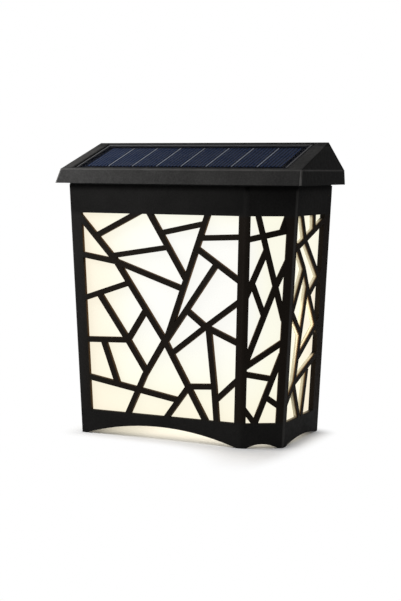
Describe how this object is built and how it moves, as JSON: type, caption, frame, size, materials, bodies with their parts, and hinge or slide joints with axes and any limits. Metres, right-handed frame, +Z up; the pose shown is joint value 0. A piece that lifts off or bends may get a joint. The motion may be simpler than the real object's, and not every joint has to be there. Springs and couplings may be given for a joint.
{
  "type": "solar wall lantern",
  "caption": "Black solar wall lantern: sloping solar-panel roof over a tapered body with one chamfered corner, whose cracked-ice lattice windows show a glowing milky liner; hangs on keyholes or stands.",
  "frame": {"origin": "on the floor under the middle of the roof, half-way between its front edge and the wall", "axes": "+Z up, front towards -Y, wall side towards +Y, +X to the viewer's right when facing the front"},
  "size_m": [0.15, 0.07, 0.1671],
  "materials": {
    "black_plastic": "fine-textured matte",
    "back_plastic": "smooth matte",
    "diffuser": "milky, lit from inside",
    "clear_cover": "clear gloss",
    "solar_cell": "dark blue silicon",
    "ribbon": "tinned",
    "panel_backing": "dark laminate",
    "foam": "closed-cell foam",
    "rubber": "soft black",
    "white_plastic": "white",
    "screw_steel": "zinc plated",
    "battery_sleeve": "plain sleeve",
    "contact_metal": "nickel plated",
    "white_board": "white laminate",
    "green_board": "green laminate",
    "led": "warm white LED",
    "component": "moulded",
    "button_plastic": "soft matte",
    "wire": "wire insulation"
  },
  "bodies": {
    "lamp": {"roof_cap": "black_plastic", "panel_seal": "foam", "panel_board": "panel_backing", "solar_cells": "solar_cell", "cell_ribbons": "ribbon", "panel_cover": "clear_cover", "roof_gasket": "rubber", "lantern_shell": "black_plastic", "diffuser_liner": "diffuser", "back_reflector": "white_plastic", "back_plate": "back_plastic", "back_screws": "screw_steel", "roof_screws": "screw_steel", "battery_lid": "back_plastic", "lid_seal": "foam", "lid_screws": "screw_steel", "battery": "battery_sleeve", "contact_positive": "contact_metal", "contact_negative": "contact_metal", "lamp_tray": "white_plastic", "tray_screws": "screw_steel", "led_board": "white_board", "leds": "led", "control_board": "green_board", "board_screws": "screw_steel", "board_components": "component", "power_switch": "component", "button_seal": "rubber", "panel_leads": "wire", "led_leads": "wire", "battery_leads": "wire"},
    "button": {"power_button": "button_plastic"}
  },
  "joints": [
    {"name": "button_press", "type": "slide", "parent": "lamp", "child": "button", "axis": [0, -1, 0], "range_m": [0, 0.0012], "stiffness_N_per_m": 800}
  ]
}
